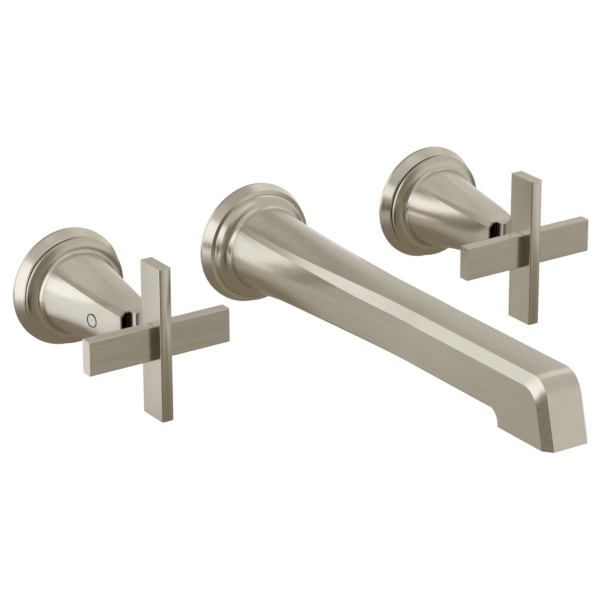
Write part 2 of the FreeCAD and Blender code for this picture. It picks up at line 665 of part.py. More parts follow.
def build_side(side, prefix):
    """Everything on one handle's axis; side is -1 for hot and 1 for cold."""
    axis = "%d * handle_spacing / 2" % side
    keep(build_valve_body(side, prefix), prefix + "_valve_body", axis)
    keep(build_cartridge(prefix), prefix + "_cartridge_body", axis)
    keep(tube(prefix + "_seal", "cartridge_radius", "seat_seal_bore", "seat_level",
              "seat_level + seat_seal_height"), prefix + "_seat_seal", axis)
    keep(build_disc(prefix, "lower_disc", "fixed_disc_base", "disc_face"), prefix + "_fixed_disc", axis)
    keep(build_disc(prefix, "upper_disc", "disc_face + running_fit", "moving_disc_top"),
         prefix + "_moving_disc", axis)

    thread = turned(prefix + "_nut_thread", [
        ("nut_bore", "cartridge_shoulder_top"), ("valve_mouth_radius - slip", "cartridge_shoulder_top"),
        ("valve_mouth_radius - slip", "nut_seat"), ("nut_bore", "nut_seat")])
    head = prism(prefix + "_nut_head", "nut_flats", "nut_top - nut_seat", "nut_seat")
    bore = rod(prefix + "_nut_way", "nut_bore", "nut_top - nut_seat + 2 * overshoot",
               ("0", "0", "nut_seat - overshoot"))
    bored_head = less(prefix + "_nut_bored", head, [bore])
    keep(join(prefix + "_nut", [thread, bored_head]), prefix + "_bonnet_nut", axis)

    keep(tube(prefix + "_sleeve", "sleeve_radius", "sleeve_bore", "sleeve_start", "sleeve_end"),
         prefix + "_trim_sleeve", axis)
    keep(turned(prefix + "_ring", [
        ("gasket_radius", "0"), ("flange_foot_radius", "0"), ("flange_foot_radius", "flange_rim"),
        ("flange_top_radius + flange_edge / 2", "flange_height - flange_edge"),
        ("flange_top_radius - flange_edge / 2", "flange_height"), ("flange_bore", "flange_height"),
        ("flange_bore", "gasket_height"), ("gasket_radius", "gasket_height")]),
        prefix + "_flange_ring", axis)
    keep(tube(prefix + "_foam", "gasket_radius - slip", "flange_bore + slip", "0", "gasket_height"),
         prefix + "_flange_gasket", axis)
    keep(tube(prefix + "_glide", "glide_radius", "flange_bore", "flange_height", "glide_top"),
         prefix + "_glide_ring", axis)

    stem = turned(prefix + "_stem_blank", [
        ("0", "moving_disc_top"), ("disc_radius", "moving_disc_top"), ("disc_radius", "stem_base_top"),
        ("stem_radius", "stem_base_top"), ("stem_radius", "stem_groove - stem_groove_half"),
        ("stem_radius - 2 * stem_ring_section", "stem_groove - stem_groove_half"),
        ("stem_radius - 2 * stem_ring_section", "stem_groove + stem_groove_half"),
        ("stem_radius", "stem_groove + stem_groove_half"), ("stem_radius", "stem_top"), ("0", "stem_top")])
    stem_tap = rod(prefix + "_stem_tap", "extension_screw_radius + slip", "stem_tap_depth + overshoot",
                   ("0", "0", "stem_top - stem_tap_depth"))
    keep(less(prefix + "_stem", stem, [stem_tap]), prefix + "_cartridge_stem", axis)
    keep(ring(prefix + "_stem_ring", "stem_radius - stem_ring_section", "stem_ring_section", "stem_groove"),
         prefix + "_stem_o_ring", axis)

    extension = turned(prefix + "_extension_blank", [
        ("stem_radius + slip", "extension_start"), ("extension_radius", "extension_start"),
        ("extension_radius", "extension_end"), ("extension_bore", "extension_end"),
        ("extension_bore", "extension_web_top"),
        ("extension_screw_radius + running_fit", "extension_web_top"),
        ("extension_screw_radius + running_fit", "extension_web"), ("stem_radius + slip", "extension_web")])
    keep(extension, prefix + "_stem_extension", axis)
    drive_shank = [("0", "extension_screw_end"), ("extension_screw_radius", "extension_screw_end"),
                   ("extension_screw_radius", "extension_web_top")]
    keep(screw(prefix + "_drive_screw", drive_shank, "extension_screw_head", "extension_web_top",
               "extension_screw_head_height"), prefix + "_extension_screw", axis)

    keep(build_bell(side, prefix), prefix + "_handle_bell", axis)
    keep(build_upright(prefix), prefix + "_vertical_bar", axis)
    keep(build_level_bar(prefix), prefix + "_horizontal_bar", axis)

    cross = turned(prefix + "_cross_screw_blank", [
        ("0", "socket_end - cross_screw_head_height"),
        ("cross_screw_head", "socket_end - cross_screw_head_height"), ("cross_screw_head", "socket_end"),
        ("cross_screw_radius", "socket_end"), ("cross_screw_radius", "cross_screw_end"),
        ("0", "cross_screw_end")])
    cross_key = prism(prefix + "_cross_screw_key", "cross_screw_head", "cross_screw_head_height / 2",
                      "socket_end - cross_screw_head_height")
    keep(less(prefix + "_cross", cross, [cross_key]), prefix + "_cross_screw", axis)

    grub = rod(prefix + "_grub_blank", "set_screw_radius", "set_screw_length",
               ("%d * (extension_radius + slip)" % side, "0", "cap_level"), (0, 1, 0), "%d * 90" % side)
    grub_key = rod(prefix + "_grub_key", "hex_key_radius", "set_screw_length / 2 + overshoot",
                   ("%d * (extension_radius + set_screw_length / 2)" % side, "0", "cap_level"),
                   (0, 1, 0), "%d * 90" % side)
    keep(less(prefix + "_grub", grub, [grub_key]), prefix + "_set_screw", axis)
    cap = rod(prefix + "_cap_blank", "cap_radius", "cap_thickness",
              ("%d * (cap_reach - cap_thickness * cos(cap_tilt))" % side, "0",
               "cap_level - cap_thickness * sin(cap_tilt)"),
              (0, 1, 0), "%d * (90 - cap_tilt)" % side)
    keep(gather(prefix + "_cap", [cap]), prefix + "_set_screw_cap", axis)


# ---------------------------------------------------------------- valve set behind the wall

def build_supply():
    """Crossover tubes, centre outlet, supply nipples and the strap that holds them."""
    tube_start, tube_end = "tee_radius - tube_depth", "handle_spacing / 2 - valve_radius + tube_depth"
    tubes = []
    for hand, sign in (("right", 1), ("left", -1)):
        place = ("%d * (%s)" % (sign, tube_start), "0", "water_level")
        length = "%s - (%s)" % (tube_end, tube_start)
        bar = rod("tube_bar_" + hand, "tube_radius", length, place, (0, 1, 0), "%d * 90" % sign)
        hole = rod("tube_hole_" + hand, "tube_bore", length, place, (0, 1, 0), "%d * 90" % sign)
        tubes.append(less("tube_" + hand, bar, [hole]))
    keep(gather("tubes", tubes), "crossover_tubes")

    outer = turned("tee_outer", [("0", "tee_back"), ("tee_radius", "tee_back"),
                                 ("tee_radius", "tee_front"), ("0", "tee_front")])
    inner = turned("tee_inner", [
        ("0", "tee_bore_back"), ("pipe_bore", "tee_bore_back"), ("pipe_bore", "tee_socket"),
        ("pipe_radius + slip", "tee_socket"), ("pipe_radius + slip", "tee_front + overshoot"),
        ("0", "tee_front + overshoot")])
    cross_bore = rod("tee_cross_bore", "passage_radius", "2 * tee_radius + 2 * overshoot",
                     ("-tee_radius - overshoot", "0", "water_level"), (0, 1, 0), "90")
    seats = [rod("tee_seat_" + hand, "tube_radius + slip", "tube_depth + overshoot",
                 ("%d * (%s)" % (sign, tube_start), "0", "water_level"), (0, 1, 0), "%d * 90" % sign)
             for hand, sign in (("right", 1), ("left", -1))]
    keep(less("tee", outer, [inner, cross_bore] + seats), "center_tee")
    keep(tube("nipple", "pipe_radius", "pipe_bore", "tee_socket", "nipple_front"), "spout_nipple")

    fittings = []
    for hand, sign in (("right", 1), ("left", -1)):
        blank = turned("fitting_blank_" + hand, [
            ("pipe_bore", "inlet_socket_start"), ("pipe_radius", "inlet_socket_start"),
            ("pipe_radius", "inlet_end"), ("pipe_bore", "inlet_end")])
        collar = prism("fitting_hex_" + hand, "inlet_hex_flats", "inlet_hex_end - inlet_hex_start",
                       "inlet_hex_start")
        way = rod("fitting_way_" + hand, "pipe_radius", "inlet_hex_end - inlet_hex_start + 2 * overshoot",
                  ("0", "0", "inlet_hex_start - overshoot"))
        bored = less("fitting_collar_" + hand, collar, [way])
        fitting = join("fitting_" + hand, [blank, bored])
        seat(fitting, ("%d * handle_spacing / 2" % sign, "0", "inlet_level"), (1, 0, 0), "90")
        fittings.append(fitting)
    keep(gather("fittings", fittings), "inlet_fittings")

    half_x, half_y, corner = "bracket_length / 2", "bracket_width / 2", "bracket_corner"
    back = "valve_back - bracket_thickness"
    plate = extruded("bracket_plate", "XY_Plane", [
        (half_x, "-(%s) + %s" % (half_y, corner)), (half_x, "%s - %s" % (half_y, corner)),
        ("%s - %s" % (half_x, corner), half_y), ("-(%s) + %s" % (half_x, corner), half_y),
        ("-(%s)" % half_x, "%s - %s" % (half_y, corner)),
        ("-(%s)" % half_x, "-(%s) + %s" % (half_y, corner)),
        ("-(%s) + %s" % (half_x, corner), "-(%s)" % half_y),
        ("%s - %s" % (half_x, corner), "-(%s)" % half_y)],
        "bracket_thickness", back, arcs={1: corner, 3: corner, 5: corner, 7: corner})
    holes, wood_screws, valve_screws = [], [], []
    spots = [(sx, sy) for sx in (1, -1) for sy in (1, -1)]
    drill = "bracket_thickness + 2 * overshoot"
    tip = "valve_back - wood_screw_length"
    wood_shank = [
        ("0", tip), ("wood_screw_radius", tip + " + wood_screw_point"),
        ("wood_screw_radius", "wood_screw_thread_level"), ("wood_screw_shank", "wood_screw_thread_level"),
        ("wood_screw_shank", "valve_back")]
    for index, (sx, sy) in enumerate(spots):
        place = ("%d * bracket_hole_pitch_x / 2" % sx, "%d * bracket_hole_pitch_z / 2" % sy,
                 back + " - overshoot")
        holes.append(rod("bracket_hole_%d" % index, "bracket_hole_radius", drill, place))
        fastener = screw("wood_screw_%d" % index, wood_shank, "wood_screw_head", "valve_back",
                         "wood_screw_head_height")
        seat(fastener, (place[0], place[1], "0"))
        wood_screws.append(fastener)
    for hand, sign in (("right", 1), ("left", -1)):
        axis = "%d * handle_spacing / 2" % sign
        holes.append(rod("valve_screw_hole_" + hand, "valve_screw_radius + running_fit",
                         drill, (axis, "0", back + " - overshoot")))
        head_level = back + " - valve_screw_head_height"
        end_level = "valve_back + valve_screw_length"
        blank = turned("valve_screw_" + hand, [
            ("0", head_level), ("valve_screw_head", head_level), ("valve_screw_head", back),
            ("valve_screw_radius", back), ("valve_screw_radius", end_level), ("0", end_level)])
        key = prism("valve_screw_key_" + hand, "valve_screw_head", "valve_screw_head_height / 2", head_level)
        fastener = less("valve_fastener_" + hand, blank, [key])
        seat(fastener, (axis, "0", "0"))
        valve_screws.append(fastener)
    keep(less("bracket", plate, holes), "mounting_bracket")
    keep(gather("wood_screws", wood_screws), "bracket_screws")
    keep(gather("valve_fasteners", valve_screws), "valve_screws")


# ---------------------------------------------------------------- spout

def spout_profile(reach, top, corner, under):
    """Side outline of the spout's straight part and end, in (height, distance) points."""
    back = "spout_straight"
    slant = "sqrt(1 + spout_lean ^ 2)"
    run = "%s * (%s - spout_lean)" % (corner, slant)
    vertex = "%s - spout_lean * (spout_drop + %s)" % (reach, top)
    return [
        ("-(%s)" % under, back), (top, back), (top, "%s - %s" % (vertex, run)),
        ("%s - %s / %s" % (top, run, slant), "%s + %s * spout_lean / %s" % (vertex, run, slant)),
        ("-spout_drop", reach), ("-spout_drop", "spout_drop_start + spout_drop_radius"),
        ("-(%s)" % under, "spout_drop_start")]


def build_spout():
    """Spout casting: two-step flange, flare, straight run and angled end."""
    flange = turned("spout_flange", [
        ("spout_gasket_radius", "0"), ("spout_foot_radius", "0"), ("spout_foot_radius", "flange_rim"),
        ("spout_foot_top_radius", "spout_foot_top"), ("spout_step_radius", "spout_step_level"),
        ("spout_collar_radius", "spout_collar_top"), ("spout_root_radius", "spout_root_level"),
        ("spout_gasket_bore", "spout_root_level"), ("spout_gasket_bore", "gasket_height"),
        ("spout_gasket_radius", "gasket_height")],
        arcs={4: "spout_collar_curve"}, hollows={5: "spout_root_curve"})

    radius = "spout_root_radius"
    start = facet_points(radius + " * cos(spout_side_angle)", radius + " * sin(spout_side_angle)",
                         radius + " * sin(spout_corner_angle)", radius + " * cos(spout_corner_angle)")
    sections = [("spout_flare_base", start, {i: radius for i in range(8)}, None)]
    for name in SPOUT_SECTIONS:
        tag = "spout_%s_" % name
        keys = ("side_x", "side_y", "top_x", "top_y", "under_x", "under_y", "low_y")
        curves = {0: "side_curve", 2: "top_curve", 4: "side_curve", 6: "under_curve"}
        sections.append((tag + "level", facet_points(*[tag + key for key in keys]),
                         {index: tag + curve for index, curve in curves.items()}, None))
    edge = "spout_under_edge"
    straight = facet_points("spout_half_width", "spout_side_top", "spout_top_half", "spout_top",
                            "spout_half_width - " + edge, "spout_under", "spout_under - " + edge)
    crown = "(spout_top_half ^ 2 + (spout_crown - spout_top) ^ 2) / (2 * (spout_crown - spout_top))"
    sections.append(("spout_straight", straight, {2: crown}, None))
    flare = lofted("spout_flare", "XY_Plane", sections)

    side = spout_profile("spout_side_front", "spout_side_top", "spout_side_corner", "spout_under - " + edge)
    share = "(%s) / (spout_half_width - spout_top_half)" % edge
    near = spout_profile(
        "(spout_side_front + (spout_front - spout_side_front) * %s)" % share,
        "(spout_side_top + (spout_top - spout_side_top) * %s)" % share, "spout_side_corner", "spout_under")
    inner = spout_profile("spout_front", "spout_top", "spout_front_corner", "spout_under")
    centre = spout_profile("spout_front", "spout_crown", "spout_front_corner", "spout_under")
    bends, wide_bends = {2: "spout_side_corner"}, {2: "spout_front_corner"}
    drop = {5: "spout_drop_radius"}
    cheeks = []
    for hand, sign in (("right", "1"), ("left", "-1")):
        levels = [("%s * spout_half_width" % sign, side, bends, drop),
                  ("%s * (spout_half_width - %s)" % (sign, edge), near, bends, drop),
                  ("%s * spout_top_half" % sign, inner, wide_bends, drop)]
        cheeks.append(lofted("spout_cheek_" + hand, "YZ_Plane", levels, True))
    middle = lofted("spout_middle", "YZ_Plane", [
        ("-spout_top_half", inner, wide_bends, drop), ("0", centre, wide_bends, drop),
        ("spout_top_half", inner, wide_bends, drop)])
    solid = join("spout_solid", [flange, flare, middle] + cheeks)

    socket = rod("spout_socket", "socket_radius", "socket_depth + overshoot", ("0", "0", "-overshoot"))
    channel = rod("spout_channel", "channel_radius", "outlet_reach", ("0", "channel_rise", "0"))
    thread = rod("spout_outlet", "outlet_thread_radius", "spout_drop + outlet_ceiling + overshoot",
                 ("0", "outlet_ceiling", "outlet_reach"), (1, 0, 0), "90")
    throat = rod("spout_throat", "channel_radius", "channel_rise - outlet_ceiling + overshoot",
                 ("0", "channel_rise", "outlet_reach"), (1, 0, 0), "90")
    elbow = doc.addObject("Part::Sphere", "spout_elbow")
    bind(elbow, "Radius", "channel_radius")
    seat(elbow, ("0", "channel_rise", "outlet_reach"))
    grub_way = rod("spout_grub_way", "set_screw_radius + slip", "2 * adapter_radius",
                   ("0", "0", "spout_screw_level"), (1, 0, 0), "90")
    keep(less("spout", solid, [socket, channel, thread, throat, elbow, grub_way]), "spout_body")

    keep(tube("spout_foam", "spout_gasket_radius - slip", "spout_gasket_bore + slip", "0", "gasket_height"),
         "spout_flange_gasket")
    grooves = []
    for level in ("adapter_groove_second", "adapter_groove_first"):
        for sign in ("+", "-"):
            edge_level = "%s %s adapter_groove_half" % (level, sign)
            pair = [("adapter_radius", edge_level), ("adapter_groove_radius", edge_level)]
            grooves += pair if sign == "+" else pair[::-1]
    adapter = turned("adapter_blank", [
        ("pipe_radius + slip", "adapter_start"), ("adapter_radius", "adapter_start")] + grooves[::-1]
        + [("adapter_radius", "adapter_end"), ("pipe_radius + slip", "adapter_end")])
    keep(adapter, "spout_adapter")
    rings = [ring("spout_ring_" + name, "adapter_radius - adapter_ring_section", "adapter_ring_section",
                  "adapter_groove_" + name) for name in ("first", "second")]
    keep(gather("spout_rings", rings), "spout_o_rings")
    grub = rod("spout_grub_blank", "set_screw_radius", "spout_screw_length",
               ("0", "-adapter_radius - slip", "spout_screw_level"), (1, 0, 0), "90")
    grub_key = rod("spout_grub_key", "hex_key_radius", "spout_screw_length",
                   ("0", "-adapter_radius - spout_screw_length / 2", "spout_screw_level"), (1, 0, 0), "90")
    keep(less("spout_grub", grub, [grub_key]), "spout_set_screw")


def build_aerator():
    """Outlet pieces, turned about the world's vertical at the outlet."""
    where = ("0", "-outlet_reach", "0")
    housing = turned("aerator_shell", [
        ("aerator_lip", "aerator_bottom"), ("aerator_radius", "aerator_bottom"),
        ("aerator_radius", "aerator_top"), ("aerator_bore", "aerator_top"),
        ("aerator_bore", "aerator_bottom + aerator_lip_height"),
        ("aerator_lip", "aerator_bottom + aerator_lip_height")])
    seat(housing, where)
    keep_here(housing, "aerator_housing")

    floor = "aerator_bottom + aerator_lip_height"
    cage = turned("aerator_cage", [
        ("0", floor + " + insert_recess"), ("insert_rim", floor + " + insert_recess"), ("insert_rim", floor),
        ("insert_radius", floor), ("insert_radius", "insert_top"), ("0", "insert_top")])
    holes = []
    row_pitch = math.sqrt(3) / 2
    for row in range(-MESH_ROWS, MESH_ROWS + 1):
        for column in range(-MESH_ROWS, MESH_ROWS + 1):
            along = column + (0.5 if row % 2 else 0.0)
            if math.hypot(along, row * row_pitch) < MESH_REACH:
                holes.append(rod("mesh_%d_%d" % (row + MESH_ROWS, column + MESH_ROWS), "mesh_hole",
                                 "aerator_top - aerator_bottom",
                                 ("mesh_pitch * %s" % along, "mesh_pitch * %s" % (row * row_pitch),
                                  "aerator_bottom")))
    insert = less("aerator_mesh", cage, holes)
    seat(insert, where)
    keep_here(insert, "aerator_insert")

    washer = tube("aerator_washer", "aerator_radius", "aerator_gasket_bore", "aerator_top", "outlet_ceiling")
    seat(washer, where)
    keep_here(washer, "aerator_gasket")


build_side(-1, "hot")
build_side(1, "cold")
build_supply()
build_spout()
build_aerator()
doc.recompute()

faults = [item.Label for item in doc.Objects if {"Invalid", "Error"} & set(item.State)]
faults += [item.Label for item in PARTS if item.Shape.isNull() or not item.Shape.isValid()]
if faults:
    raise RuntimeError("not built: " + ", ".join(faults))
os.makedirs("parts", exist_ok=True)
for item in PARTS:
    item.Shape.exportStep("parts/" + item.Label + ".step")
    print(item.Label, len(item.Shape.Solids), round(item.Shape.Volume, 1))
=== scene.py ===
import json
import math

import bmesh
import bpy
from mathutils import Matrix, Vector


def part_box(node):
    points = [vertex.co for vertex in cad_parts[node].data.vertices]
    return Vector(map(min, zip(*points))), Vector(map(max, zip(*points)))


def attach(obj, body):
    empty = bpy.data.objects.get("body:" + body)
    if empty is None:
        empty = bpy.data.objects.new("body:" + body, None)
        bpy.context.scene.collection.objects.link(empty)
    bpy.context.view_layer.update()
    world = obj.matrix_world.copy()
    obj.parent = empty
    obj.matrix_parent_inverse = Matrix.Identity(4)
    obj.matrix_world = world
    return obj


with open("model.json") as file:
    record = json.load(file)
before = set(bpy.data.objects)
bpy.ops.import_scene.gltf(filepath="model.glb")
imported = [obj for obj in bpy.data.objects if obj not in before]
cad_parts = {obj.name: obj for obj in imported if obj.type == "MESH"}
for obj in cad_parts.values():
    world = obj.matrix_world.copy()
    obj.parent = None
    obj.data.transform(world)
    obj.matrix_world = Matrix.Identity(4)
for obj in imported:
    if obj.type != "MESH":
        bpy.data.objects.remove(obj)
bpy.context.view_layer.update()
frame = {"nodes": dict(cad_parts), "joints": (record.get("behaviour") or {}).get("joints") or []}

# Wall mounted bath faucet. Metres: x to the right, y into the wall, z up, the wall's face at y = 0.

MM = 0.001
HANDLE_X = frame["joints"][1]["pos_m"][0]
nodes = frame["nodes"]


# ---------------------------------------------------------------- node helpers

NOISE_ROUGHNESS = 0.55
ANGLE_SCALE = 2.5


def new_material(name):
    """An empty node material and its Principled shader."""
    material = bpy.data.materials.new(name)
    material.use_nodes = True
    tree = material.node_tree
    tree.nodes.clear()
    shader = tree.nodes.new("ShaderNodeBsdfPrincipled")
    output = tree.nodes.new("ShaderNodeOutputMaterial")
    tree.links.new(shader.outputs["BSDF"], output.inputs["Surface"])
    return material, tree, shader


def math_node(tree, operation, first, second=None):
    """A Math node; each input is a socket or a number."""
    node = tree.nodes.new("ShaderNodeMath")
    node.operation = operation
    for index, given in enumerate((first, second)):
        if isinstance(given, (int, float)):
            node.inputs[index].default_value = given
        elif given is not None:
            tree.links.new(given, node.inputs[index])
    return node.outputs[0]


def noise(tree, vector, scale, detail=2.0):
    """The value of a Noise texture on the given coordinates."""
    node = tree.nodes.new("ShaderNodeTexNoise")
    node.inputs["Scale"].default_value = scale
    node.inputs["Detail"].default_value = detail
    node.inputs["Roughness"].default_value = NOISE_ROUGHNESS
    tree.links.new(vector, node.inputs["Vector"])
    return node.outputs["Fac"]


def ramp(tree, value, low, high, start=0.3, stop=0.7):
    """Remaps value from start..stop to low..high."""
    node = tree.nodes.new("ShaderNodeMapRange")
    node.interpolation_type = "SMOOTHSTEP"
    for name, given in (("From Min", start), ("From Max", stop), ("To Min", low), ("To Max", high)):
        node.inputs[name].default_value = given
    tree.links.new(value, node.inputs["Value"])
    return node.outputs["Result"]


def blend_colours(tree, factor, first, second):
    """Mixes two colours by a factor socket; the first colour may be a socket too."""
    node = tree.nodes.new("ShaderNodeMix")
    node.data_type = "RGBA"
    if isinstance(first, bpy.types.NodeSocket):
        tree.links.new(first, node.inputs["A"])
    else:
        node.inputs["A"].default_value = (*first, 1.0)
    node.inputs["B"].default_value = (*second, 1.0)
    tree.links.new(factor, node.inputs["Factor"])
    return node.outputs["Result"]


def bump(tree, height, distance, strength):
    """A Bump node's normal."""
    node = tree.nodes.new("ShaderNodeBump")
    node.inputs["Distance"].default_value = distance
    node.inputs["Strength"].default_value = strength
    tree.links.new(height, node.inputs["Height"])
    return node.outputs["Normal"]


def place(tree):
    """Object coordinates, which turn with a piece."""
    return tree.nodes.new("ShaderNodeTexCoord").outputs["Object"]


def stretched(tree, scale):
    """Object coordinates scaled differently along x, y and z."""
    node = tree.nodes.new("ShaderNodeMapping")
    node.inputs["Scale"].default_value = scale
    tree.links.new(place(tree), node.inputs["Vector"])
    return node.outputs["Vector"]


def turned(tree, axis_x, scale):
    """Coordinates round an axis parallel to y: fast with the radius and along y, slow round the axis."""
    mapping = tree.nodes.new("ShaderNodeMapping")
    mapping.inputs["Location"].default_value = (-axis_x, 0.0, 0.0)
    tree.links.new(place(tree), mapping.inputs["Vector"])
    split = tree.nodes.new("ShaderNodeSeparateXYZ")
    tree.links.new(mapping.outputs["Vector"], split.inputs[0])
    squares = math_node(tree, "ADD", math_node(tree, "POWER", split.outputs["X"], 2.0),
                        math_node(tree, "POWER", split.outputs["Z"], 2.0))
    radius = math_node(tree, "SQRT", squares)
    angle = math_node(tree, "ARCTAN2", split.outputs["Z"], split.outputs["X"])
    joined = tree.nodes.new("ShaderNodeCombineXYZ")
    tree.links.new(math_node(tree, "MULTIPLY", radius, scale), joined.inputs["X"])
    tree.links.new(math_node(tree, "MULTIPLY", split.outputs["Y"], scale), joined.inputs["Y"])
    tree.links.new(math_node(tree, "MULTIPLY", angle, ANGLE_SCALE), joined.inputs["Z"])
    return joined.outputs["Vector"]


# ---------------------------------------------------------------- materials

NICKEL = (0.650, 0.608, 0.528)
NICKEL_SHADE = (0.628, 0.584, 0.500)
NICKEL_CLOUD = 40.0
FINE_LINES, COARSE_LINES, LINE_RUN = 2400.0, 620.0, 22.0
LINE_SHARE, CLOUD_SHARE = 0.7, 0.3
TONE_START, TONE_STOP = 0.38, 0.62
ROUGH_LOW, ROUGH_HIGH, ROUGH_FINE = 0.22, 0.26, 0.01
BRUSH_DEPTH, BRUSH_STRENGTH = 0.0000005, 0.25


def brushed_nickel(name, along=None, ring_x=None):
    """Satin nickel with fine brushing: along an axis, or round a handle's axis at ring_x."""
    material, tree, shader = new_material(name)

    def lines(scale):
        """Noise drawn out into brushing lines."""
        if ring_x is None:
            where = stretched(tree, tuple(LINE_RUN if axis == along else scale for axis in "xyz"))
        else:
            where = turned(tree, ring_x, scale)
        return noise(tree, where, 1.0)

    fine_lines = lines(FINE_LINES)
    coarse_lines = lines(COARSE_LINES)
    cloud = noise(tree, place(tree), NICKEL_CLOUD)
    tone = math_node(tree, "ADD", math_node(tree, "MULTIPLY", coarse_lines, LINE_SHARE),
                     math_node(tree, "MULTIPLY", cloud, CLOUD_SHARE))
    shine = ramp(tree, tone, 0.0, 1.0, TONE_START, TONE_STOP)
    colour = blend_colours(tree, shine, NICKEL_SHADE, NICKEL)
    tree.links.new(colour, shader.inputs["Base Color"])
    grain = math_node(tree, "ADD", ramp(tree, coarse_lines, ROUGH_LOW, ROUGH_HIGH),
                      ramp(tree, fine_lines, -ROUGH_FINE, ROUGH_FINE))
    tree.links.new(grain, shader.inputs["Roughness"])
    tree.links.new(bump(tree, fine_lines, BRUSH_DEPTH, BRUSH_STRENGTH), shader.inputs["Normal"])
    shader.inputs["Metallic"].default_value = 1.0
    return material


CLOUD_DETAIL, PITS_PER_CLOUD, PIT_STRENGTH = 4.0, 14.0, 0.5
BLOTCH_START, BLOTCH_STOP = 0.35, 0.65
ROUGH_SWING = 0.06


def simple(name, colour, shade, metallic, rough, scale=160.0, height=0.00002):
    """Cast, moulded or plated stock: blotchy colour, uneven roughness and a fine surface."""
    material, tree, shader = new_material(name)
    cloud = noise(tree, place(tree), scale, CLOUD_DETAIL)
    pits = noise(tree, place(tree), scale * PITS_PER_CLOUD)
    blotch = ramp(tree, cloud, 0.0, 1.0, BLOTCH_START, BLOTCH_STOP)
    tree.links.new(blend_colours(tree, blotch, shade, colour), shader.inputs["Base Color"])
    tree.links.new(ramp(tree, cloud, rough - ROUGH_SWING, rough + ROUGH_SWING), shader.inputs["Roughness"])
    tree.links.new(bump(tree, pits, height, PIT_STRENGTH), shader.inputs["Normal"])
    shader.inputs["Metallic"].default_value = metallic
    return material


finishes = {
    "spout": brushed_nickel("spout_nickel", along="y"),
    "length": brushed_nickel("bar_nickel_x", along="x"),
    "upright": brushed_nickel("bar_nickel_z", along="z"),
    "bell": brushed_nickel("bell_nickel", along="y"),
    "hot_ring": brushed_nickel("hot_ring_nickel", ring_x=-HANDLE_X),
    "cold_ring": brushed_nickel("cold_ring_nickel", ring_x=HANDLE_X),
}
stock = {
    "brushed_nickel": finishes["bell"],
    "brass": simple("rough_brass", (0.72, 0.50, 0.22), (0.55, 0.36, 0.15), 1.0, 0.34),
    "steel": simple("zinc_steel", (0.62, 0.62, 0.60), (0.50, 0.50, 0.49), 1.0, 0.30),
    "rubber": simple("black_rubber", (0.03, 0.03, 0.03), (0.02, 0.02, 0.02), 0.0, 0.62),
    "foam": simple("grey_foam", (0.10, 0.10, 0.10), (0.05, 0.05, 0.05), 0.0, 0.9, 900.0, 0.0002),
    "ceramic": simple("white_ceramic", (0.85, 0.84, 0.80), (0.80, 0.78, 0.74), 0.0, 0.15),
    "black_plastic": simple("black_plastic", (0.025, 0.025, 0.027), (0.018, 0.018, 0.02), 0.0, 0.38),
    "aerator_metal": simple("aerator_metal", (0.45, 0.42, 0.36), (0.34, 0.32, 0.28), 1.0, 0.33),
}

for obj in nodes.values():
    for slot in obj.material_slots:
        slot.material = stock[slot.material.name.split(".")[0]]
for node_name, finish in (
        ("spout_body", "spout"),
        ("hot_flange_ring", "hot_ring"), ("cold_flange_ring", "cold_ring"),
        ("hot_horizontal_bar", "length"), ("cold_horizontal_bar", "length"),
        ("hot_vertical_bar", "upright"), ("cold_vertical_bar", "upright")):
    for slot in nodes[node_name].material_slots:
        slot.material = finishes[finish]


# The bars' edges are broken, which draws a thin line of light along them.
WELD_REACH, EDGE_ROUND, EDGE_SEGMENTS, EDGE_ANGLE = 0.002 * MM, 0.5 * MM, 3, math.radians(28)
for node_name in ("hot_vertical_bar", "cold_vertical_bar", "hot_horizontal_bar", "cold_horizontal_bar"):
    weld = nodes[node_name].modifiers.new("weld", "WELD")
    weld.merge_threshold = WELD_REACH
    rounded = nodes[node_name].modifiers.new("edges", "BEVEL")
    rounded.width = EDGE_ROUND
    rounded.segments = EDGE_SEGMENTS
    rounded.limit_method = "ANGLE"
    rounded.angle_limit = EDGE_ANGLE
    rounded.harden_normals = True


# ---------------------------------------------------------------- small pieces on the handles that paint shade

def new_piece(name, corners, faces, body, slot):
    """A mesh piece that rides on a body."""
    mesh = bpy.data.meshes.new(name)
    mesh.from_pydata(corners, [], faces)
    piece = bpy.data.objects.new(name, mesh)
    bpy.context.scene.collection.objects.link(piece)
    mesh.materials.append(stock[slot])
    build = bmesh.new()
    build.from_mesh(mesh)
    bmesh.ops.recalc_face_normals(build, faces=build.faces)
    build.to_mesh(mesh)
    build.free()
    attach(piece, body)
    return piece


# Painted shade: black liners set in the neck's pockets make the mouths black where they lie in shade.
SHADE_LINER_INNER, SHADE_LINER_OUTER, SHADE_LINER_HALF, SHADE_LINER_CORNER = 3.95 * MM, 7.45 * MM, 8.15 * MM, 2.1 * MM
SHADE_LINER_FLOOR, SHADE_LINER_TOP, SHADE_LINER_WALL = 54.9 * MM, 61.75 * MM, 0.2 * MM


def neck_shade_liner(prefix, body, side, hand, sign):
    """Black open-topped liner in one pocket of the neck: painted shade, blackening the pocket where the
    neck's mouth lies in shade.
    """
    outline = [(SHADE_LINER_INNER, -SHADE_LINER_HALF), (SHADE_LINER_OUTER - SHADE_LINER_CORNER, -SHADE_LINER_HALF),
               (SHADE_LINER_OUTER, SHADE_LINER_CORNER - SHADE_LINER_HALF), (SHADE_LINER_OUTER, SHADE_LINER_HALF - SHADE_LINER_CORNER),
               (SHADE_LINER_OUTER - SHADE_LINER_CORNER, SHADE_LINER_HALF), (SHADE_LINER_INNER, SHADE_LINER_HALF)]
    count = len(outline)
    corners = [(side * HANDLE_X + sign * x, -level, z)
               for level in (SHADE_LINER_FLOOR, SHADE_LINER_TOP) for x, z in outline]
    faces = [tuple(range(count))]
    faces += [(i, (i + 1) % count, count + (i + 1) % count, count + i) for i in range(count)]
    piece = new_piece("%s_neck_liner_%s" % (prefix, hand), corners, faces, body, "black_plastic")
    shell = piece.modifiers.new("wall", "SOLIDIFY")
    shell.thickness = SHADE_LINER_WALL


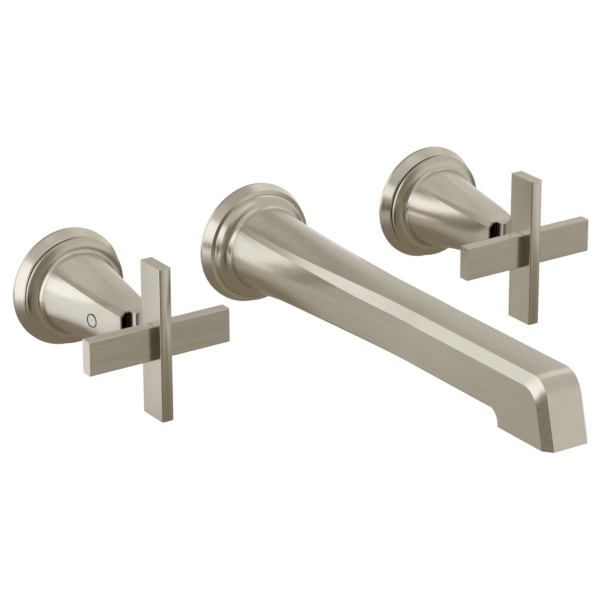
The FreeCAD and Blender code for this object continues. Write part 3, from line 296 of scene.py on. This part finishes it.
# Painted shade: a black ring laid in the gap round each set screw's cap darkens the shadow there.
RING_RADIUS, RING_SECTION, RING_SINK = 2.95 * MM, 0.29 * MM, 0.05 * MM
RING_STEPS, SECTION_STEPS = 72, 12
CAP_THICKNESS, CAP_TILT = 1.2 * MM, math.radians(11.5)


def cap_shade_ring(prefix, body, side):
    """Thin black ring of painted shade in the gap round the set screw's cap."""
    low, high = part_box(prefix + "_set_screw_cap")
    axis = Vector((side * math.cos(CAP_TILT), -math.sin(CAP_TILT), 0.0))
    centre = (Vector(low) + Vector(high)) / 2 + axis * (CAP_THICKNESS / 2 - RING_SINK)
    across = Vector((0.0, 0.0, 1.0))
    along = axis.cross(across)
    corners, faces = [], []
    for step in range(RING_STEPS):
        turn = 2 * math.pi * step / RING_STEPS
        outward = along * math.cos(turn) + across * math.sin(turn)
        here, there = step * SECTION_STEPS, (step + 1) % RING_STEPS * SECTION_STEPS
        for part in range(SECTION_STEPS):
            lean = 2 * math.pi * part / SECTION_STEPS
            corners.append(centre + outward * (RING_RADIUS + RING_SECTION * math.cos(lean))
                           + axis * RING_SECTION * math.sin(lean))
            after = (part + 1) % SECTION_STEPS
            faces.append((here + part, there + part, there + after, here + after))
    new_piece(prefix + "_cap_shade_ring", corners, faces, body, "rubber")


# Both are painted shade: a black ring in each cap's gap and black liners in the neck's pockets.
for prefix, side in (("hot", -1), ("cold", 1)):
    cap_shade_ring(prefix, prefix + "_handle", side)
    for hand, sign in (("left", -1), ("right", 1)):
        neck_shade_liner(prefix, prefix + "_handle", side, hand, sign)


# What stands behind the finished wall stays out of the trim's reflections.
WALL_CLEARANCE = -0.006
for node_name, obj in nodes.items():
    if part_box(node_name)[0][1] > WALL_CLEARANCE:
        obj.visible_glossy = "flange" in node_name


# ---------------------------------------------------------------- studio

WHITE = (1.0, 1.0, 1.0)
GROUND = (0.27, 0.235, 0.175)
SKY = (0.68, 0.67, 0.64)
GROUND_EDGE, SKY_EDGE = -30, -18
BANKS = (
    # name, azimuth from and to, elevation from and to, soft edge (degrees), light
    ("right_floor", 72, 118, -34, -2, 7, (0.24, 0.21, 0.165)),
    ("right_low", 100, 162, -34, -18, 6, (0.31, 0.28, 0.22)),
    ("right_back", 22, 72, -26, 8, 6, (0.90, 0.89, 0.85)),
    ("right_side", 52, 74, 2, 56, 8, (0.92, 0.91, 0.88)),
    ("right_front", 116, 162, -18, 14, 4, (0.80, 0.79, 0.76)),
    ("right_high", 48, 84, 36, 60, 6, (1.05, 1.04, 1.00)),
    ("front", 172, 252, -34, 36, 8, (0.26, 0.23, 0.175)),
    ("front_corner", 205, 223, -31, -13, 3, (0.02, 0.017, 0.012)),
    ("left_low", -84, -20, -32, -14, 6, (0.50, 0.48, 0.42)),
    ("left_foot", -108, -80, -34, -20, 7, (0.62, 0.61, 0.58)),
    ("left_back", -84, -26, -12, 32, 5, (1.13, 1.17, 1.19)),
    ("back_high", -34, 34, 48, 62, 6, (0.80, 0.79, 0.76)),
    ("back_top", -56, 26, 32, 46, 6, (0.36, 0.34, 0.29)),
    ("back_middle", 6, 36, 22, 42, 6, (0.44, 0.42, 0.37)),
    ("top_back", -76, 72, 62, 80, 6, (0.52, 0.50, 0.45)),
    ("front_top", 142, 212, 58, 78, 7, (1.00, 1.00, 0.98)),
)


def studio():
    """World light as soft banks round the object; the camera sees a plain white backdrop."""
    world = bpy.data.worlds.new("studio")
    bpy.context.scene.world = world
    world.use_nodes = True
    tree = world.node_tree
    tree.nodes.clear()
    split = tree.nodes.new("ShaderNodeSeparateXYZ")
    tree.links.new(tree.nodes.new("ShaderNodeTexCoord").outputs["Generated"], split.inputs[0])
    turn = math_node(tree, "ARCTAN2", split.outputs["X"], split.outputs["Y"])
    rise = math_node(tree, "ARCSINE", split.outputs["Z"])

    def window(value, start, stop, soft):
        """1 between start and stop (degrees), fading to 0 over the soft edge."""
        middle, half = math.radians((start + stop) / 2), math.radians((stop - start) / 2)
        offset = math_node(tree, "SUBTRACT", value, middle)
        wrapped = tree.nodes.new("ShaderNodeMath")
        wrapped.operation = "WRAP"
        tree.links.new(offset, wrapped.inputs[0])
        wrapped.inputs[1].default_value = math.pi
        wrapped.inputs[2].default_value = -math.pi
        distance = math_node(tree, "ABSOLUTE", wrapped.outputs[0])
        edge = math.radians(soft)
        return ramp(tree, distance, 1.0, 0.0, half - edge, half + edge)

    height = ramp(tree, rise, 0.0, 1.0, math.radians(GROUND_EDGE), math.radians(SKY_EDGE))
    light = blend_colours(tree, height, GROUND, SKY)
    for name, az_from, az_to, el_from, el_to, soft, colour in BANKS:
        inside = math_node(tree, "MULTIPLY", window(turn, az_from, az_to, soft),
                           window(rise, el_from, el_to, soft))
        light = blend_colours(tree, inside, light, colour)

    lit = tree.nodes.new("ShaderNodeBackground")
    tree.links.new(light, lit.inputs["Color"])
    plain = tree.nodes.new("ShaderNodeBackground")
    plain.inputs["Color"].default_value = (*WHITE, 1.0)
    chosen = tree.nodes.new("ShaderNodeMixShader")
    tree.links.new(tree.nodes.new("ShaderNodeLightPath").outputs["Is Camera Ray"], chosen.inputs["Fac"])
    tree.links.new(lit.outputs[0], chosen.inputs[1])
    tree.links.new(plain.outputs[0], chosen.inputs[2])
    output = tree.nodes.new("ShaderNodeOutputWorld")
    tree.links.new(chosen.outputs[0], output.inputs["Surface"])


ONE_FACE = [(0, 1, 2, 3)]


def new_sheet(name, corners, faces, colour):
    """A glowing sheet that casts no shadow, with its node tree, its Emission shader and its output."""
    mesh = bpy.data.meshes.new(name)
    mesh.from_pydata(corners, [], faces)
    sheet = bpy.data.objects.new(name, mesh)
    bpy.context.scene.collection.objects.link(sheet)
    material = bpy.data.materials.new(name)
    material.use_nodes = True
    tree = material.node_tree
    tree.nodes.clear()
    glow = tree.nodes.new("ShaderNodeEmission")
    glow.inputs["Color"].default_value = (*colour, 1.0)
    output = tree.nodes.new("ShaderNodeOutputMaterial")
    tree.links.new(glow.outputs[0], output.inputs["Surface"])
    mesh.materials.append(material)
    sheet.visible_shadow = False
    return sheet, tree, glow, output


def white_sheet(name, corners, faces):
    """A plain white stage sheet that only the camera sees, and only from its front."""
    sheet, tree, glow, output = new_sheet(name, corners, faces, WHITE)
    clear = tree.nodes.new("ShaderNodeBsdfTransparent")
    chosen = tree.nodes.new("ShaderNodeMixShader")
    tree.links.new(tree.nodes.new("ShaderNodeNewGeometry").outputs["Backfacing"], chosen.inputs["Fac"])
    tree.links.new(glow.outputs[0], chosen.inputs[1])
    tree.links.new(clear.outputs[0], chosen.inputs[2])
    tree.links.new(chosen.outputs[0], output.inputs["Surface"])
    sheet.visible_diffuse = False
    sheet.visible_glossy = False
    sheet.visible_transmission = False


def light_sheet(name, corners, colour):
    """A glowing stage sheet that only reflections see."""
    sheet = new_sheet(name, corners, ONE_FACE, colour)[0]
    sheet.visible_camera = False


studio()
FILL_LEFT, FILL_RIGHT, FILL_DEPTH, FILL_BOTTOM, FILL_TOP = -0.46, -0.195, 0.08, -0.118, 0.02
light_sheet("left_fill", [
    (FILL_LEFT, FILL_DEPTH, FILL_BOTTOM), (FILL_RIGHT, FILL_DEPTH, FILL_BOTTOM),
    (FILL_RIGHT, FILL_DEPTH, FILL_TOP), (FILL_LEFT, FILL_DEPTH, FILL_TOP)], (0.98, 1.00, 1.02))
BANK_X, BANK_FRONT, BANK_REAR, BANK_BOTTOM, BANK_TOP = -0.6, -0.33, 0.40, -0.20, 0.42
light_sheet("left_bank", [
    (BANK_X, BANK_FRONT, BANK_BOTTOM), (BANK_X, BANK_REAR, BANK_BOTTOM),
    (BANK_X, BANK_REAR, BANK_TOP), (BANK_X, BANK_FRONT, BANK_TOP)], (1.42, 1.47, 1.53))

# The wall is flat behind the trim and leans forward beyond it, so that a view from the side looks past it.
SETBACK, LEAN, TOP_LEAN = 0.0002, 0.05, 0.11
FLAT_X, FLAT_BOTTOM, FLAT_TOP = 0.15, -0.07, 0.05
WALL_X, WALL_BOTTOM, WALL_TOP = 0.9, -0.45, 0.8
white_sheet("wall", [
    (-FLAT_X, SETBACK, FLAT_BOTTOM), (FLAT_X, SETBACK, FLAT_BOTTOM),
    (FLAT_X, SETBACK, FLAT_TOP), (-FLAT_X, SETBACK, FLAT_TOP),
    (-WALL_X, -LEAN, WALL_BOTTOM), (WALL_X, -LEAN, WALL_BOTTOM),
    (WALL_X, -TOP_LEAN, WALL_TOP), (-WALL_X, -TOP_LEAN, WALL_TOP)],
    ONE_FACE + [(4, 5, 1, 0), (5, 6, 2, 1), (6, 7, 3, 2), (7, 4, 0, 3)])

FLOOR_REACH = 4.0
white_sheet("floor", [
    (-FLOOR_REACH, -FLOOR_REACH, WALL_BOTTOM), (FLOOR_REACH, -FLOOR_REACH, WALL_BOTTOM),
    (FLOOR_REACH, FLOOR_REACH, WALL_BOTTOM), (-FLOOR_REACH, FLOOR_REACH, WALL_BOTTOM)], ONE_FACE)

LENS, SENSOR = 182.4, 36.0
EYE = Vector((-0.7328, -1.1410, 0.5061))
LOOK = Vector((0.51535, 0.77388, -0.36757))
ROLL = math.radians(-0.229)
camera_data = bpy.data.cameras.new("camera")
camera_data.lens = LENS
camera_data.sensor_width = SENSOR
camera = bpy.data.objects.new("camera", camera_data)
bpy.context.scene.collection.objects.link(camera)
camera.matrix_world = (Matrix.Translation(EYE) @ LOOK.to_track_quat("-Z", "Y").to_matrix().to_4x4()
                       @ Matrix.Rotation(ROLL, 4, "Z"))
bpy.context.scene.camera = camera
bpy.context.scene.view_settings.view_transform = "Standard"
